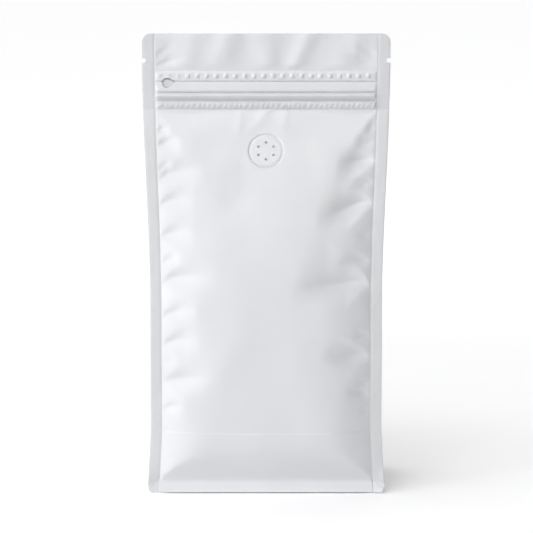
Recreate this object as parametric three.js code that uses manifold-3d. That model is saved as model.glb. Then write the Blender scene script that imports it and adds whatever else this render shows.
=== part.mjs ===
// A filled flat-bottomed coffee bag: a pouch of white film with welded edges, a press-to-close strip
// across its top, and a round one-way valve. Millimetres, +Z up, the front facing -Y, and the origin
// on the surface that the bag stands on, under its middle.
//
// The pouch is one loft of horizontal sections. A section's welded edges stand out sideways from the
// four seams where the panels meet the side gussets, and close to one pair where the gussets end.

import * as THREE from "three";
import { mergeVertices } from "three/addons/utils/BufferGeometryUtils.js";
import Module from "manifold-3d";

const wasm = await Module();
wasm.setup();

// ---------------------------------------------------------------- driving dimensions

const bag = {
  height: 256,
  halfWidth: 70, // over the welded edges, where the bag is flat
  waist: 5.35, // how far the filled bag draws each side in
  waistLow: 100, // the waist is full below this height, and gone above waistHigh
  waistHigh: 240,
  flare: 2.2, // how far the foot spreads again below the crease...
  flareCurve: 1.1, // ...evenly at 1, and more of it near the ground above 1
  halfDepth: 33, // from the middle to a side seam, where the bag is full
  flatHalfDepth: 0.55, // the same where front and back are pressed together
};

// A panel's middle stands in front of its side seams. Some of the numbers hold at the crease, and
// change to their like for the upper part by the height `upperFrom`.
const swell = {
  bulge: 11, // how far the middle stands out...
  fullTo: 115, // ...up to this height
  flatBulge: 0.6, // and this far...
  flatFrom: 222, // ...from this one up
  upperFrom: 95,
  steep: 3.5, // how quickly it rises from the side seams
  steepUpper: 2.6,
  square: 9, // how sharply that rise turns into the one from the foot
  squareUpper: 4,
  hollow: 0.12, // above the foot's weld, as a share of the height from there to the crease
  footSteep: 1.7,
};

// The film turns out steeply beside a seam.
const roll = {
  rise: 1.3,
  reach: 4, // most of the rise is over this width
  full: 62, // height from which it is all there, starting at the crease
  fadeFrom: 203,
  fadeTo: 212.5,
};

const weld = {
  width: 7.5, // of a side weld, seen from the front where the bag is flat
  waistLoss: 1, // the side weld leans back on the full part and looks narrower
  footGain: 0.5, // it is wider again at the foot
  film: 0.9, // thickness of a welded edge
  meet: 210.5, // height where the front and back edges run together
  footHeight: 6.7, // of the weld along the bottom edge
  footFilm: 0.7, // its thickness
  footLap: 0.6, // how far it reaches up into the side welds and the body
  lapInset: 0.1, // and how far inside their outline it stays there
  footSplay: 2.9, // how far its lower edge stands out
  cornerRadius: 5,
  footCornerWidth: 2.9, // the foot's corners are as tall, but narrower
};

const gusset = {
  shoulder: 105, // above this height the gussets fold in and the bag tapers
  shoulderSoftness: 12,
  crease: 35.3, // height of the pressed fold line, half of the flat gusset's width
  halfWidth: 35, // of the film, from a seam to the gusset's middle line
  outward: 4, // how far the contents push a gusset out...
  outwardTo: 80, // ...up to this height
  outwardNone: 120, // and no longer from this one
  foldFrom: 92, // the fold starts at this height...
  foldFull: 165, // ...and takes up all of the gusset's film from this one
  closeFrom: 3.3, // the fold shuts while the half depth goes from this...
  closeTo: 0.8, // ...to this
};

const foot = { edgeRadius: 5.6 }; // round lower edge of the body, behind the welds

const notch = { height: 240.9, depth: 2.3, radius: 1.2 };
const notchCut = { length: 10, thickness: 6, sides: 16 }; // longer and thicker than the edge it cuts

// The bands of the press-to-close strip from the top down. A band's rise is from the panel's surface,
// its crown is how much further its middle stands out, and it runs out downwards over its foot.
const zipBands = [
  { name: "dotted rib", top: 234.9, bottom: 229.3, rise: 0.6, crown: 0.1, foot: 0.35 },
  { name: "tear strip", top: 229.1, bottom: 222.4, rise: 0.25, crown: 0.6, foot: 0.6 },
  { name: "zip profile", top: 222.3, bottom: 218.1, rise: 1.7, crown: 0.3, foot: 1.9 },
  { name: "lower rib", top: 217.4, bottom: 213.3, rise: 0.7, crown: 0.4, foot: 1 },
];
const bandEdge = 0.35; // height over which a band steps up at its top
const bandInset = 1.5; // width over which the bands run out at a side seam
const roundCrown = 0.3; // a crown above this needs sections between the band's edges

const dots = { count: 23, first: -60.3, pitch: 5.35, height: 232.1, base: 2.9, top: 1.9, rise: 0.4 };

const keyhole = {
  x: -55.9,
  height: 228.3,
  radius: 2.85,
  arcFrom: 0.36 * Math.PI, // the round part's ends; the rest is the tip
  arcTo: 1.78 * Math.PI,
  tipX: 4.9,
  tipUp: 0.7,
  tipMargin: 2, // a margin draws the tip in by this many times its width
  depth: 1.1,
  sides: 16,
};
const tapeThickness = 0.4;

const valve = {
  height: 190.8,
  radius: 9.5,
  flatRadius: 7.6, // the disc slopes down to its rim outside this
  sunk: 0.1, // its middle under the film's surface
  rimSunk: 0.45,
  thickness: 1.1,
  holeCircle: 4.9,
  holeRadius: 0.45,
  holeCount: 6,
  sides: 48,
  holeSides: 12,
  slopeReach: 5, // above and below its centre, where the film's lean is taken
};

const gap = 0.3; // kept between neighbouring pieces
const over = 2; // how far a cut starts in front of the film

// Puckers along the side seams, valleys that open inward from a pinch:
// [height at the seam, reach, depth, rise in the first steps, fall for each step in].
const leftPuckers = [
  [193.5, 22, 2.0, 2.6, 0], [174.2, 40, 2.4, 4.6, -0.07], [160.6, 32, 2.4, 3.7, 0],
  [143.2, 32, 2.2, 3.6, 0], [129.4, 16, 1.2, 2.8, 0], [117.4, 46, 2.6, 4.8, -0.05],
  [99, 30, 2.2, 4.6, 0], [83.9, 32, 2.2, 3.4, -0.05], [62.6, 44, 2.6, 2.6, -0.06], [47.6, 18, 1.6, 2.6, 0],
];
const rightPuckers = [
  [194.6, 18, 1.2, 2, 0.22], [185, 30, 2.4, 3, 0.28], [173.1, 18, 1.2, 0.8, 0.1],
  [160.8, 44, 3, 5, 0.42], [129.2, 28, 1.6, 2.6, 0.08], [115.6, 60, 3.6, 4.8, 0.1],
  [89.2, 16, 1, 1.5, 0.1], [77, 38, 2.4, 2.2, 0.02], [55.2, 20, 2, 3, 0],
];
const pucker = {
  mouth: 1.4, // half width at the seam
  spread: 0.4, // what it gains in half width for each millimetre inward...
  spreadTo: 12, // ...up to this distance
  roundness: 1, // of the valley's bottom
  peak: 0.17, // where it is deepest, as a share of its reach
  liftReach: 4, // distance over which it rises by its first steps
  fadeFrom: 38, // distance in from the seam where all of them start to fade
  fadeTo: 56,
  zipClear: 3, // they fade over this height under the zip...
  footClear: 14, // ...and over this one above the foot's weld
};
// One long fold runs down and inward from each end of the zip.
const cornerFold = { height: 211.6, peakAt: 7.68, rise: 0.8, lean: -1.2, tip: 0.8, spread: 0.5 };

// Waves of the flat header: [place at its top, place at the zip, half width, rise].
const headerWaves = [
  [-20, -31, 7.5, 1.3], [1, 0.6, 7, 1.3], [25.2, 13.8, 5.5, 1.6], [-40, -49, 8, 1.1], [56, 39, 8.5, 1.1],
];
const header = { from: 235, full: 239, edgeFade: 12 };

// ---------------------------------------------------------------- the bag's form, in formulas

const clamp = (t) => Math.min(1, Math.max(0, t));
const smooth = (t) => clamp(t) ** 2 * (3 - 2 * clamp(t));
const ramp = (value, from, to) => smooth((value - from) / (to - from));
const lerp = (a, b, t) => a + (b - a) * t;

const waist = (z) => 1 - ramp(z, bag.waistLow, bag.waistHigh);
const spread = (z) => clamp(1 - z / gusset.crease) ** bag.flareCurve;

/** How much a rounded corner of this width takes off a welded edge at a distance from its end. */
const cornerLoss = (away, width) => width * (1 - Math.sqrt(1 - clamp(1 - away / weld.cornerRadius) ** 2));

/** Half width over the welded edges, without and with the rounded corners. */
const squareHalfWidth = (z) => bag.halfWidth - bag.waist * waist(z) + bag.flare * spread(z);
const outerHalfWidth = (z) =>
  squareHalfWidth(z) -
  cornerLoss(z, weld.footCornerWidth) -
  cornerLoss(bag.height - z, weld.cornerRadius);

/** Half width between the side seams, where the body starts. */
const seamHalfWidth = (z) =>
  squareHalfWidth(z) - weld.width + weld.waistLoss * waist(z) - weld.footGain * spread(z);

const zipFoot = zipBands.at(-1).bottom;
const taper = (bag.halfDepth - bag.flatHalfDepth) / (zipFoot - gusset.shoulder);

/** Depth of the side seams: upright on the full part, then a straight taper to the zip. */
function seamDepth(z) {
  const past = (z - gusset.shoulder) / gusset.shoulderSoftness;
  const tapered = bag.halfDepth - taper * gusset.shoulderSoftness * Math.log1p(Math.exp(past));
  return Math.max(bag.flatHalfDepth, tapered);
}

/** How far a panel's middle stands out at this height. */
const bulgeAt = (z) => lerp(swell.bulge, swell.flatBulge, ramp(z, swell.fullTo, swell.flatFrom));

/** The panel's bulge at a point: it rises from the side seams and from the weld along the foot. */
function bulge(x, z) {
  const upper = ramp(z, gusset.crease, swell.upperFrom);
  const fromSide = clamp(1 - Math.abs(x) / seamHalfWidth(z));
  const across = 1 - (1 - fromSide) ** lerp(swell.steep, swell.steepUpper, upper);
  // the panel leaves the foot's weld in a small hollow and then swells
  const share = clamp((z - weld.footHeight) / (gusset.crease - weld.footHeight));
  const eased = ((1 + swell.hollow) * share ** 2) / (share + swell.hollow);
  const up = 1 - (1 - eased) ** swell.footSteep;
  if (across <= 0 || up <= 0) return 0;
  const sharpness = lerp(swell.square, swell.squareUpper, upper);
  return bulgeAt(z) * (across ** -sharpness + up ** -sharpness) ** (-1 / sharpness);
}

/** The steep turn of the film beside a side seam. */
function edgeRoll(x, z) {
  const inward = Math.max(0, seamHalfWidth(z) - Math.abs(x));
  const here = ramp(z, gusset.crease, roll.full) * (1 - ramp(z, roll.fadeFrom, roll.fadeTo));
  return here * roll.rise * (1 - Math.exp(-inward / roll.reach));
}

/** Rises from 0 at the seam to 1 at its peak, and fades away past it. */
const riseAndFade = (inward, peak) => (inward > 0 ? (inward / peak) * Math.exp(1 - inward / peak) : 0);

/** A valley that starts at a pinch in a side seam, widens inward and fades out. */
function valley(inward, z, [height, reach, depth, lift, fall]) {
  if (inward <= 0) return 0;
  const line = height + lift * (1 - Math.exp(-inward / pucker.liftReach)) - fall * inward;
  const off = Math.hypot(z - line, pucker.roundness) - pucker.roundness;
  const width = pucker.mouth + pucker.spread * Math.min(inward, pucker.spreadTo);
  return -depth * riseAndFade(inward, pucker.peak * reach) * Math.exp(-off / width);
}

/** The ridge under each end of the zip. */
function cornerRidge(inward, z) {
  const { height, peakAt, rise, lean, tip } = cornerFold;
  const off = (z - height - lean * inward) / (tip + cornerFold.spread * Math.max(0, inward));
  return rise * riseAndFade(inward, peakAt) * Math.exp(-off * off);
}

/** All the puckers of a panel. The back has the front's, seen in a mirror. */
function puckers(x, z) {
  const inward = seamHalfWidth(z) - Math.abs(x);
  const sum = (x < 0 ? leftPuckers : rightPuckers).reduce(
    (total, one) => total + valley(inward, z, one),
    cornerRidge(inward, z),
  );
  const underZip = 1 - ramp(z, zipFoot - pucker.zipClear, zipFoot);
  const aboveFoot = ramp(z, weld.footHeight, weld.footHeight + pucker.footClear);
  return underZip * aboveFoot * sum * (1 - ramp(inward, pucker.fadeFrom, pucker.fadeTo));
}

/** Relief of the zip's bands. */
function zipRelief(x, z) {
  const inside = clamp((seamHalfWidth(z) - Math.abs(x)) / bandInset);
  for (const { top, bottom, rise, crown, foot: runOut } of zipBands) {
    if (z < bottom || z > top) continue;
    const middle = (top + bottom) / 2;
    const share = clamp(1 - ((z - middle) / (top - middle)) ** 2);
    const edge = clamp(Math.min((z - bottom) / runOut, (top - z) / bandEdge));
    return inside * (rise * edge + crown * Math.sqrt(share));
  }
  return 0;
}

/** The flat header above the zip waves to and fro, front and back together. */
function wave(x, z) {
  const fade = clamp((seamHalfWidth(z) - Math.abs(x)) / header.edgeFade) * ramp(z, header.from, header.full);
  const share = (z - header.from) / (bag.height - header.from);
  return headerWaves.reduce((sum, [above, below, width, rise]) => {
    const off = (x - lerp(below, above, share)) / width;
    return sum + fade * rise * Math.exp(-off * off);
  }, 0);
}

/** Distance from the middle plane to the front film, and to the back film, where no zip shows. */
const filmDepth = (x, z) => seamDepth(z) + bulge(x, z) + edgeRoll(x, z) + puckers(x, z);
const frontDepth = (x, z) => filmDepth(x, z) + zipRelief(x, z) + wave(x, z);
const backDepth = (x, z) => filmDepth(x, z) - wave(x, z);

/** How far a gusset's middle line lies inside the side seams. */
function gussetFold(z) {
  const depth = seamDepth(z);
  const folded = Math.sqrt(gusset.halfWidth ** 2 - depth ** 2);
  const opening = ramp(depth, gusset.closeTo, gusset.closeFrom);
  return folded * opening * ramp(z, gusset.foldFrom, gusset.foldFull);
}

/** How far the contents push a gusset's middle out instead. */
const gussetBulge = (z) =>
  gusset.outward *
  ramp(z, foot.edgeRadius, gusset.crease) *
  (1 - ramp(z, gusset.outwardTo, gusset.outwardNone));

// ---------------------------------------------------------------- solids

/** A manifold-3d solid of a closed three.js geometry. */
function solid(geometry) {
  const bare = geometry.index ? geometry.toNonIndexed() : geometry.clone();
  bare.deleteAttribute("normal");
  bare.deleteAttribute("uv");
  const merged = mergeVertices(bare, 1e-4);
  return new wasm.Manifold(
    new wasm.Mesh({
      numProp: 3,
      vertProperties: merged.attributes.position.array,
      triVerts: new Uint32Array(merged.index.array),
    }),
  );
}

/** The other way: a solid's triangles as a geometry with flat normals. */
function geometryOf(made) {
  const { vertProperties, triVerts } = made.getMesh();
  const geometry = new THREE.BufferGeometry()
    .setAttribute("position", new THREE.BufferAttribute(vertProperties, 3))
    .setIndex(new THREE.BufferAttribute(triVerts, 1))
    .toNonIndexed();
  geometry.computeVertexNormals();
  return geometry;
}

/** A solid of triangles, each three points, that close on each other. */
const solidOfTriangles = (triangles) =>
  solid(
    new THREE.BufferGeometry().setAttribute(
      "position",
      new THREE.Float32BufferAttribute(triangles.flat(2), 3),
    ),
  );

/** Triangles between neighbouring sections. All have as many points, anticlockwise from above. */
function skin(sections) {
  return sections.slice(1).flatMap((upper, i) => {
    const lower = sections[i];
    return lower.flatMap((a, k) => {
      const next = (k + 1) % lower.length;
      return [
        [a, lower[next], upper[next]],
        [a, upper[next], upper[k]],
      ];
    });
  });
}

/** Triangles over one flat outline. */
function lid(outline, facesUp) {
  const flat = outline.map(([x, y]) => new THREE.Vector2(x, y));
  return THREE.ShapeUtils.triangulateShape(flat, []).map((corners) => {
    const [p, q, r] = corners.map((i) => outline[i]);
    return facesUp ? [p, q, r] : [p, r, q];
  });
}

/** count + 1 values from a to b, both included. */
const steps = (a, b, count) => Array.from({ length: count + 1 }, (_, i) => lerp(a, b, i / count));
const quarterTurn = (count) => steps(0, Math.PI / 2, count);

const columns = { front: 30, back: 14, gusset: 6 };

const ease = 0.3; // 0 would space a panel's columns evenly

/** Places from -1 to 1 across a panel, closer together towards the seams. */
const across = (count) => steps(-1, 1, count).map((t) => t * (1 + ease - ease * t * t));

/** The right gusset at this height, from the front welded edge's root to the back one's. */
function gussetRun(z) {
  const rootDepth = seamDepth(z) - weld.film;
  return steps(-1, 1, columns.gusset).map((v) => {
    const inward = gussetFold(z) * (1 - Math.abs(v)) - gussetBulge(z) * (1 - v * v);
    return [seamHalfWidth(z) - inward, v * rootDepth, z];
  });
}

/** The same with the welded edges on the right: out and back in along the front, then the back. */
function openRun(z) {
  const [outer, depth] = [outerHalfWidth(z), seamDepth(z)];
  const inner = depth - weld.film;
  const frontEdge = [[outer, -depth, z], [outer, -inner, z]];
  const backEdge = [[outer, inner, z], [outer, depth, z]];
  return [...frontEdge, ...gussetRun(z), ...backEdge];
}

/** The right welded edge where front and back have met. */
function shutRun(z) {
  const [outer, depth] = [outerHalfWidth(z), seamDepth(z)];
  const inner = Math.max(depth - weld.film, depth / 3);
  return [-depth, -inner, inner, depth].map((y) => [outer, y, z]);
}

/** A point or a run on the left, from its like on the right: half a turn about the bag's axis. */
const turned = (run) => run.map(([x, y, z]) => [-x, -y, z]);

/** A whole section, from seam to seam: front, right, back and left. */
function section(z, sideRun) {
  const half = seamHalfWidth(z);
  const front = across(columns.front).map((u) => [u * half, -frontDepth(u * half, z), z]);
  const back = across(columns.back).map((u) => [-u * half, backDepth(-u * half, z), z]);
  return [...front, ...sideRun(z), ...back, ...turned(sideRun(z))];
}

/** A section below the side welds, drawn in by the round lower edge. */
function footSection(z) {
  const { edgeRadius } = foot;
  const inset = edgeRadius - Math.sqrt(edgeRadius ** 2 - Math.max(0, edgeRadius - z) ** 2);
  const scaleX = 1 - inset / seamHalfWidth(z);
  const scaleY = 1 - inset / seamDepth(z);
  return section(z, gussetRun).map(([x, y]) => [x * scaleX, y * scaleY, z]);
}

/** Heights of the sections, close together where the form changes quickly. */
const footHeights = [
  ...quarterTurn(4).map((angle) => foot.edgeRadius * (1 - Math.cos(angle))),
  weld.footHeight,
];
const hollowHeights = [9, 12, 17, 23, 29]; // above the foot's weld, up to the crease
const openHeights = [weld.footHeight, ...hollowHeights, ...steps(gusset.crease, weld.meet, 38)];
const bandHeights = zipBands.toReversed().flatMap(({ top, bottom, crown, foot: runOut }) => {
  const inner = steps(bottom + runOut, top - bandEdge, crown > roundCrown ? 3 : 1);
  return [bottom, ...inner, top];
});
const topHeights = quarterTurn(4).map(
  (angle) => bag.height - weld.cornerRadius * (1 - Math.sin(angle)),
);
const headerHeights = [237, 243]; // of the header's upright part
const shutHeights = [weld.meet, ...bandHeights, ...headerHeights, ...topHeights].filter(
  (z, i, all) => z !== all[i - 1],
);

/** The lower ends of the right side's two welded edges. */
function weldEnds() {
  const z = weld.footHeight;
  const [half, outer, depth] = [seamHalfWidth(z), outerHalfWidth(z), seamDepth(z)];
  const inner = depth - weld.film;
  const end = (y1, y2) => [[half, y1, z], [outer, y1, z], [outer, y2, z], [half, y2, z]];
  return [end(-depth, -inner), end(inner, depth)];
}

/** The filled pouch with its side welds. */
function bodySolid() {
  const low = footHeights.map(footSection);
  const open = openHeights.map((z) => section(z, openRun));
  const shut = shutHeights.map((z) => section(z, shutRun));
  // Each slit between the welded edges ends where they meet, under a small flat web.
  const slit = openRun(weld.meet).slice(1, -1);
  const downwards = [low[0], slit, turned(slit), ...weldEnds(), ...weldEnds().map(turned)];
  return solidOfTriangles([
    ...skin(low),
    ...skin(open),
    ...skin(shut),
    ...downwards.flatMap((outline) => lid(outline, false)),
    ...lid(shut.at(-1), true),
  ]);
}

/** The weld along the foot of one face, with rounded lower corners: -1 is the front, 1 the back. */
function footWeld(face) {
  const { cornerRadius, footHeight, footLap, lapInset, footFilm, footSplay, film } = weld;
  const rounding = quarterTurn(5).map((angle) => cornerRadius * (1 - Math.cos(angle)));
  const sections = [...rounding, footHeight, footHeight + footLap].map((z) => {
    const outer = outerHalfWidth(z) - (z > footHeight ? lapInset : 0);
    const middle = seamDepth(z) - film / 2 + footSplay * clamp(1 - z / footHeight);
    const [front, back] = [face * middle - footFilm / 2, face * middle + footFilm / 2];
    return [[-outer, front, z], [outer, front, z], [outer, back, z], [-outer, back, z]];
  });
  return solidOfTriangles([
    ...skin(sections),
    ...lid(sections[0], false),
    ...lid(sections.at(-1), true),
  ]);
}

/** A tear notch in each edge of the header, with a round end. */
function notchCuts() {
  const tip = outerHalfWidth(notch.height) - notch.depth + notch.radius;
  const { length, thickness, sides } = notchCut;
  return [-1, 1].map((side) => {
    const end = new THREE.CylinderGeometry(notch.radius, notch.radius, thickness, sides);
    const mouth = new THREE.BoxGeometry(length, thickness, 2 * notch.radius);
    return solid(end.translate(side * tip, 0, notch.height)).add(
      solid(mouth.translate(side * (tip + length / 2), 0, notch.height)),
    );
  });
}

/** The row of raised squares on the topmost band. */
function dotSolids() {
  const toCorner = Math.SQRT1_2;
  const square = new THREE.CylinderGeometry(
    dots.base * toCorner, dots.top * toCorner, 2 * dots.rise, 4,
  ).rotateY(Math.PI / 4);
  return Array.from({ length: dots.count }, (_, i) => {
    const x = dots.first + i * dots.pitch;
    return solid(square.clone().translate(x, -frontDepth(x, dots.height), dots.height));
  });
}

// ---------------------------------------------------------------- keyhole and tape

/** The tear tab's opening, seen from the front: a circle with a tip, drawn in by a margin. */
function keyholeShape(margin) {
  const radius = keyhole.radius - margin;
  const shape = new THREE.Shape();
  shape.absarc(0, 0, radius, keyhole.arcFrom, keyhole.arcTo, false);
  shape.lineTo(keyhole.tipX - keyhole.tipMargin * margin, keyhole.tipUp);
  return shape;
}

/** A prism of that shape whose front is at depth `front` and which is `thickness` deep. */
function keyholePrism(margin, front, thickness) {
  const options = { depth: thickness, bevelEnabled: false, curveSegments: keyhole.sides };
  const geometry = new THREE.ExtrudeGeometry(keyholeShape(margin), options);
  geometry.rotateX(Math.PI / 2);
  return geometry.translate(keyhole.x, thickness - front, keyhole.height);
}

const keyholeFront = frontDepth(keyhole.x, keyhole.height);
const keyholeCut = keyholePrism(0, keyholeFront + over, keyhole.depth + over);
const tapeGeometry = keyholePrism(gap, keyholeFront - keyhole.depth + gap + tapeThickness, tapeThickness);

// ---------------------------------------------------------------- valve

/** The disc over the valve, with its axis along +Z and its top at the film's surface. */
function valveSolid() {
  const profile = [
    [0, -valve.sunk - valve.thickness],
    [valve.radius, -valve.sunk - valve.thickness],
    [valve.radius, -valve.rimSunk],
    [valve.flatRadius, -valve.sunk],
    [0, -valve.sunk],
  ].map(([r, up]) => new THREE.Vector2(r, up));
  let disc = solid(new THREE.LatheGeometry(profile, valve.sides).rotateX(Math.PI / 2));
  for (let i = 0; i < valve.holeCount; i++) {
    const angle = (i / valve.holeCount) * 2 * Math.PI + Math.PI / 2;
    const hole = new THREE.CylinderGeometry(
      valve.holeRadius, valve.holeRadius, 2 * valve.thickness, valve.holeSides,
    ).rotateX(Math.PI / 2).translate(
      valve.holeCircle * Math.cos(angle), valve.holeCircle * Math.sin(angle), 0,
    );
    disc = disc.subtract(solid(hole));
  }
  return disc;
}

/** The pocket that the disc lies in, on the same axis. */
const pocketDepth = valve.sunk + valve.thickness + gap;
const valvePocket = new THREE.CylinderGeometry(
  valve.radius + gap, valve.radius + gap, pocketDepth + 2 * over, valve.sides,
).rotateX(Math.PI / 2).translate(0, 0, over - pocketDepth / 2);

const filmDepthAtValve = frontDepth(0, valve.height);
const filmUnderValve = frontDepth(0, valve.height - valve.slopeReach);
const filmOverValve = frontDepth(0, valve.height + valve.slopeReach);
const filmLean = Math.atan((filmUnderValve - filmOverValve) / (2 * valve.slopeReach));
const valvePlace = new THREE.Matrix4()
  .makeTranslation(0, -filmDepthAtValve, valve.height)
  .multiply(new THREE.Matrix4().makeRotationX(Math.PI / 2 - filmLean));

// ---------------------------------------------------------------- the group

let pouch = bodySolid();
pouch = [footWeld(-1), footWeld(1), ...dotSolids()].reduce((all, one) => all.add(one), pouch);
const cuts = [...notchCuts(), solid(keyholeCut), solid(valvePocket.applyMatrix4(valvePlace))];
pouch = cuts.reduce((rest, cut) => rest.subtract(cut), pouch);

const film = { color: 0xf0f0f3, roughness: 0.48, metalness: 0 };

/** A named mesh with a material of its own. */
function piece(name, geometry, look) {
  const mesh = new THREE.Mesh(geometry, new THREE.MeshStandardMaterial(look));
  mesh.name = name;
  return mesh;
}

const coffeeBag = new THREE.Group();
const valveMesh = piece("valve", geometryOf(valveSolid()), { ...film, roughness: 0.42 });
valveMesh.applyMatrix4(valvePlace);
coffeeBag.add(
  piece("pouch", geometryOf(pouch), film),
  valveMesh,
  piece("zipper_tape", tapeGeometry, { ...film, color: 0xe4e4e8, roughness: 0.4 }),
);

export default coffeeBag;
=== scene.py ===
import math

import bmesh
import bpy
import numpy as np
from mathutils import Matrix, Vector


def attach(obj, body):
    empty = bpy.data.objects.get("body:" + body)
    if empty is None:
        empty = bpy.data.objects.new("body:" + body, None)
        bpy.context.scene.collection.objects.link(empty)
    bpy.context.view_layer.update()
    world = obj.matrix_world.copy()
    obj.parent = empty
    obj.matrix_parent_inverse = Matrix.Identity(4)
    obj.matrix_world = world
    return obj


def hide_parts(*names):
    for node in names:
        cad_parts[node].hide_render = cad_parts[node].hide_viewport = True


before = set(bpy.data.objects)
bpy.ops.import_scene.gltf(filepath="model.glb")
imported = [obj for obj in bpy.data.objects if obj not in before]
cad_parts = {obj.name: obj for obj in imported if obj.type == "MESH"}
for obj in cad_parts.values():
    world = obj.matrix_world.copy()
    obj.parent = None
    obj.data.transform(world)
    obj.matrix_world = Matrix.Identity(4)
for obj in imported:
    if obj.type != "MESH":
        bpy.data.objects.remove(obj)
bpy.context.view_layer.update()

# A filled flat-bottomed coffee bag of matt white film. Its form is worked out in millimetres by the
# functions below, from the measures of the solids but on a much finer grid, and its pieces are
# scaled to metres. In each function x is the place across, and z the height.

MM = 0.001
SAME_POINT = 2e-6  # metres

# ------------------------------------------------------------------ sizes, in millimetres

HEIGHT = 256.0
HALF_WIDTH = 70.0  # over the welded edges, where the bag is flat
WAIST, WAIST_LOW, WAIST_HIGH = 5.35, 100.0, 240.0  # what the full part loses of it
FLARE, FLARE_CURVE = 2.2, 1.1  # and what the foot gains again
CORNER = 5.0
FOOT_CORNER = 2.9  # the foot's corners are as tall, but narrower
HALF_DEPTH, FLAT_DEPTH = 33.0, 0.55  # to a side seam, where the bag is full and where it is shut
SHOULDER, SHOULDER_SOFT = 105.0, 12.0  # height above which the bag tapers, and how gently it starts
CREASE = 35.3  # height of the pressed line across a panel
WELD, WELD_WAIST_LOSS, WELD_FOOT_GAIN = 7.5, 1.0, 0.5  # a side weld's width
FILM = 0.5  # thickness of a welded edge, which the solids make 0.9
MEET = 210.5  # front and back welds run together here
FOOT, FOOT_SPLAY, LIFT = 6.7, 2.9, 0.7  # the foot's weld, its lean, and its gap to the ground
EDGE = 5.6  # round lower edge of the filled body
ZIP_LOW, ZIP_HIGH = 213.3, 235.1
NOTCH_Z, NOTCH_DEEP, NOTCH_R = 240.9, 2.3, 1.2

# A panel's middle stands in front of its side seams. Some of the numbers hold at the crease, and
# change to their like for the upper part by the height UPPER_FROM.
BULGE, BULGE_TO = 11.0, 115.0
FLAT_BULGE, FLAT_FROM = 0.6, 222.0
UPPER_FROM = 95.0
STEEP, STEEP_UPPER = 3.5, 2.6  # how quickly it rises from the side seams
SHARP, SHARP_UPPER = 9.0, 4.0  # how sharply that rise turns into the one from the foot
HOLLOW, FOOT_STEEP = 0.12, 1.7  # the rise from the foot starts in a small hollow

# The film turns out steeply beside a seam.
ROLL, ROLL_REACH = 1.3, 4.0
ROLL_FULL = 62.0  # height from which it is all there, starting at the crease
ROLL_FADE, ROLL_NONE = 203.0, 212.5

# The side gussets are pushed out low down, and fold in further up.
GUSSET = 35.0  # width of the film from a seam to the middle line
GUSSET_OUT, GUSSET_OUT_TO, GUSSET_OUT_END = 4.0, 80.0, 120.0
GUSSET_FOLD_FROM, GUSSET_FOLD_FULL = 92.0, 165.0
GUSSET_CLOSED, GUSSET_CLOSING = 0.8, 3.3  # the fold shuts between these half depths
GUSSET_ROUND = 0.0009  # how round the middle line is
GUSSET_WRINKLE, GUSSET_CALM, GUSSET_WRINKLED = 0.5, 30.0, 60.0  # no wrinkles up to GUSSET_CALM
WRINKLE_TURN, WRINKLE_SLOW = 0.23, 0.071  # turns for each mm of height

# Puckers of the front panel: valleys that start at a pinch in a side seam and open inward.
# (height at the seam, reach, depth, how far it rises in its first steps, fall for each step in,
#  half width above the valley for each step in, and below it)
LEFT_FOLDS = [
    (201.5, 12, 0.5, 1.6, 0.0, 0.35, 0.45), (193.5, 20, 0.9, 2.6, 0.0, 0.3, 0.45),
    (180.7, 13, 0.6, 2.2, 0.0, 0.4, 0.4), (174.2, 36, 1.1, 4.6, -0.07, 0.34, 0.5),
    (160.6, 28, 1.1, 3.7, 0.0, 0.36, 0.5), (143.2, 27, 1.0, 3.6, 0.0, 0.36, 0.5),
    (129.4, 16, 0.6, 2.8, 0.0, 0.4, 0.4), (117.4, 44, 1.3, 4.8, -0.05, 0.32, 0.5),
    (99.0, 28, 1.0, 4.6, 0.0, 0.36, 0.45), (83.9, 31, 1.0, 3.4, -0.05, 0.38, 0.45),
    (74.0, 12, 0.4, 1.6, 0.0, 0.3, 0.4), (62.6, 46, 1.2, 2.6, -0.06, 0.4, 0.45),
    (47.6, 18, 0.8, 2.6, 0.0, 0.4, 0.4),
]
RIGHT_FOLDS = [
    (203.2, 8, 0.35, 0.6, 0.2, 0.4, 0.4), (194.6, 18, 0.6, 2.0, 0.22, 0.35, 0.35),
    (185.0, 30, 1.7, 3.0, 0.28, 0.5, 0.5), (173.1, 18, 0.6, 0.8, 0.1, 0.35, 0.35),
    (160.8, 44, 2.1, 5.0, 0.42, 0.65, 0.5), (144.4, 14, 0.4, 1.5, 0.2, 0.3, 0.3),
    (129.2, 28, 1.1, 2.6, 0.08, 0.4, 0.4), (115.6, 60, 2.6, 4.8, 0.1, 0.75, 0.55),
    (89.2, 16, 0.5, 1.5, 0.1, 0.35, 0.35), (77.0, 38, 1.7, 2.2, 0.02, 0.5, 0.45),
    (62.2, 12, 0.5, 1.0, 0.1, 0.35, 0.35), (55.2, 20, 1.0, 3.0, 0.0, 0.35, 0.45),
    (46.8, 10, 0.4, 0.8, 0.0, 0.35, 0.35),
]
CORNER_VALLEY = (211.8, 66, 0.25, 0.0, 0.22, 0.2, 0.7)
HEADER_FOLDS = [(243.5, 18, 0.4, 1.4, -0.35, 0.35, 0.4), (237.6, 32, 0.5, 0.6, -0.3, 0.3, 0.35)]
# (height at the seam, reach, rise, fall for each step in, half width at the seam, and its gain)
CORNER_RIDGE = (211.6, 24, 0.6, 1.2, 0.8, 0.5)
RIDGE_PEAK = 0.32  # share of its reach where it is highest
PUCKER_FADE, PUCKER_END = 38.0, 56.0  # puckers end between these distances from the seam
ZIP_CLEAR, FOOT_CLEAR = 3.0, 14.0  # and over these heights next to the zip and the foot's weld

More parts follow.
